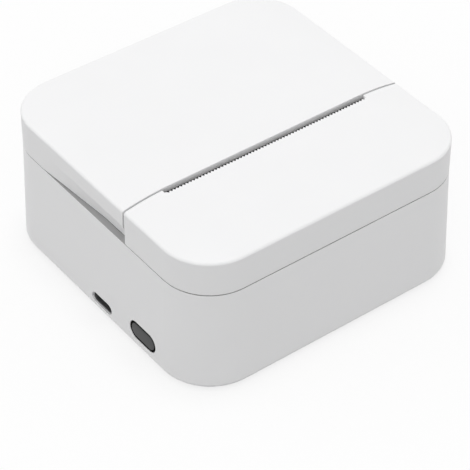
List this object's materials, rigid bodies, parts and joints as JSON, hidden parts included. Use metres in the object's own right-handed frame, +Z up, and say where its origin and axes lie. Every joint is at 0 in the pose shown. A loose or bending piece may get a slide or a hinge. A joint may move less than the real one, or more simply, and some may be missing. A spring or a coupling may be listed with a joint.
{
  "type": "portable thermal printer",
  "caption": "Pocket receipt and label printer: square white case with rounded corners, a hinged rear lid over the paper bay, a serrated tear slot, a USB-C inlet and a power button.",
  "frame": {"origin": "centre of the footprint, on the table under the feet", "axes": "+Z up, -Y the front with the fixed cap, +X the right; the inlet and the button are on the -X side"},
  "size_m": [0.09, 0.0894, 0.043],
  "materials": {
    "white_shell": "fine matt moulded ABS",
    "grey_button": "satin moulded plastic",
    "grey_rubber": "soft moulded rubber",
    "grey_frame": "matt moulded plastic",
    "black_plastic": "satin",
    "socket_plastic": "satin",
    "steel": "ground and plated",
    "sheet_steel": "zinc plated sheet",
    "spring_steel": "blued",
    "motor_can": "drawn and plated",
    "shield_tin": "drawn, tin plated",
    "flex_cable": "polyimide film",
    "board": "solder resist",
    "battery_wrap": "pouch film",
    "gear_plastic": "moulded acetal",
    "platen_rubber": "ground rubber",
    "brass_pinion": "turned",
    "head_ceramic": "glazed strip",
    "aluminium": "die cast"
  },
  "bodies": {
    "root": {"housing": "white_shell", "front_cap": "white_shell", "rubber_feet": "grey_rubber", "case_screws": "steel", "paper_bay": "grey_frame", "paper_sensor": "black_plastic", "mechanism_chassis": "sheet_steel", "chassis_screws": "steel", "stepper_motor": "motor_can", "motor_screws": "steel", "gear_axles": "steel", "head_spring": "spring_steel", "head_cable": "flex_cable", "main_board": "board", "board_screws": "steel", "board_sockets": "socket_plastic", "board_chips": "black_plastic", "radio_module": "shield_tin", "usb_shell": "shield_tin", "usb_tongue": "black_plastic", "power_switch": "black_plastic", "battery_pack": "battery_wrap"},
    "lid": {"lid": "white_shell", "platen_bracket": "grey_frame", "bracket_screws": "steel", "hinge_pins": "steel", "platen_bushings": "gear_plastic"},
    "platen": {"platen_shaft": "steel", "platen_rubber": "platen_rubber", "platen_gear": "gear_plastic"},
    "idler": {"idler_gear": "gear_plastic"},
    "reduction": {"reduction_gear": "gear_plastic"},
    "rotor": {"motor_pinion": "brass_pinion"},
    "head": {"print_head": "head_ceramic", "head_heatsink": "aluminium"},
    "button": {"power_button": "grey_button"}
  },
  "joints": [
    {"name": "lid_hinge", "type": "hinge", "parent": "root", "child": "lid", "pos_m": [0, 0.0399, 0.03525], "axis": [-1, 0, 0], "range_deg": [0, 90]},
    {"name": "platen_spin", "type": "hinge", "parent": "lid", "child": "platen", "pos_m": [0, -0.0088, 0.0335], "axis": [1, 0, 0], "continuous": true},
    {"name": "idler_spin", "type": "hinge", "parent": "root", "child": "idler", "pos_m": [0.0324, -0.0088, 0.024], "axis": [1, 0, 0], "continuous": true},
    {"name": "reduction_spin", "type": "hinge", "parent": "root", "child": "reduction", "pos_m": [0.0324, -0.01179, 0.01498], "axis": [1, 0, 0], "continuous": true},
    {"name": "rotor_spin", "type": "hinge", "parent": "root", "child": "rotor", "pos_m": [0.0324, -0.0225, 0.0175], "axis": [1, 0, 0], "continuous": true},
    {"name": "head_tilt", "type": "hinge", "parent": "root", "child": "head", "pos_m": [0, -0.016, 0.029], "axis": [1, 0, 0], "range_deg": [0, 1.5], "stiffness_Nm_per_rad": 0.2, "springref_deg": -5.73},
    {"name": "button_press", "type": "slide", "parent": "root", "child": "button", "axis": [0.9994, 0, -0.0349], "range_m": [0, 0.0005], "stiffness_N_per_m": 400, "springref_m": -0.001}
  ],
  "couplings": [
    {"joint": "idler_spin", "follows": "platen_spin", "ratio": -0.58333},
    {"joint": "reduction_spin", "follows": "platen_spin", "ratio": 1},
    {"joint": "rotor_spin", "follows": "platen_spin", "ratio": -2.6667}
  ]
}
